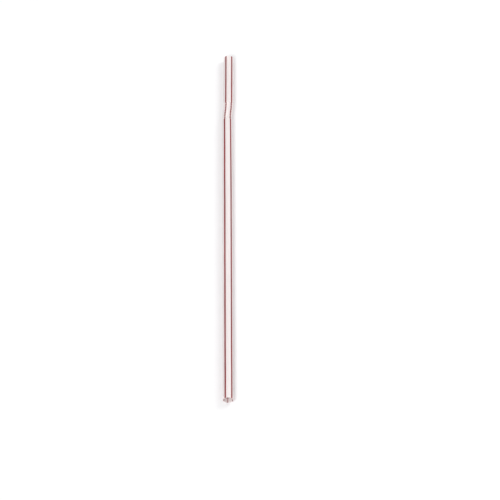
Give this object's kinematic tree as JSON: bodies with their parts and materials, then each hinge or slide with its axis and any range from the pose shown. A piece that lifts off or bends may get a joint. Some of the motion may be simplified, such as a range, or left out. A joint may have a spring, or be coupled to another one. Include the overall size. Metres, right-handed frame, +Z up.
{
  "type": "flexible drinking straw",
  "caption": "Thin striped plastic tube for drinking, open at both ends, with a short run of bellows folds near the mouth end that sets the mouth piece slightly to one side.",
  "frame": {"origin": "on the surface that the straw lies on, under the middle of its box", "axes": "+Y along the stem towards the mouth end, +Z up from the surface, +X to the side that the mouth piece is set to"},
  "size_m": [0.0058, 0.2, 0.005],
  "materials": {
    "striped_polypropylene": "satin, thin and milky, white with red stripes along the tube"
  },
  "bodies": {
    "root": {"straw": "striped_polypropylene"}
  },
  "joints": []
}
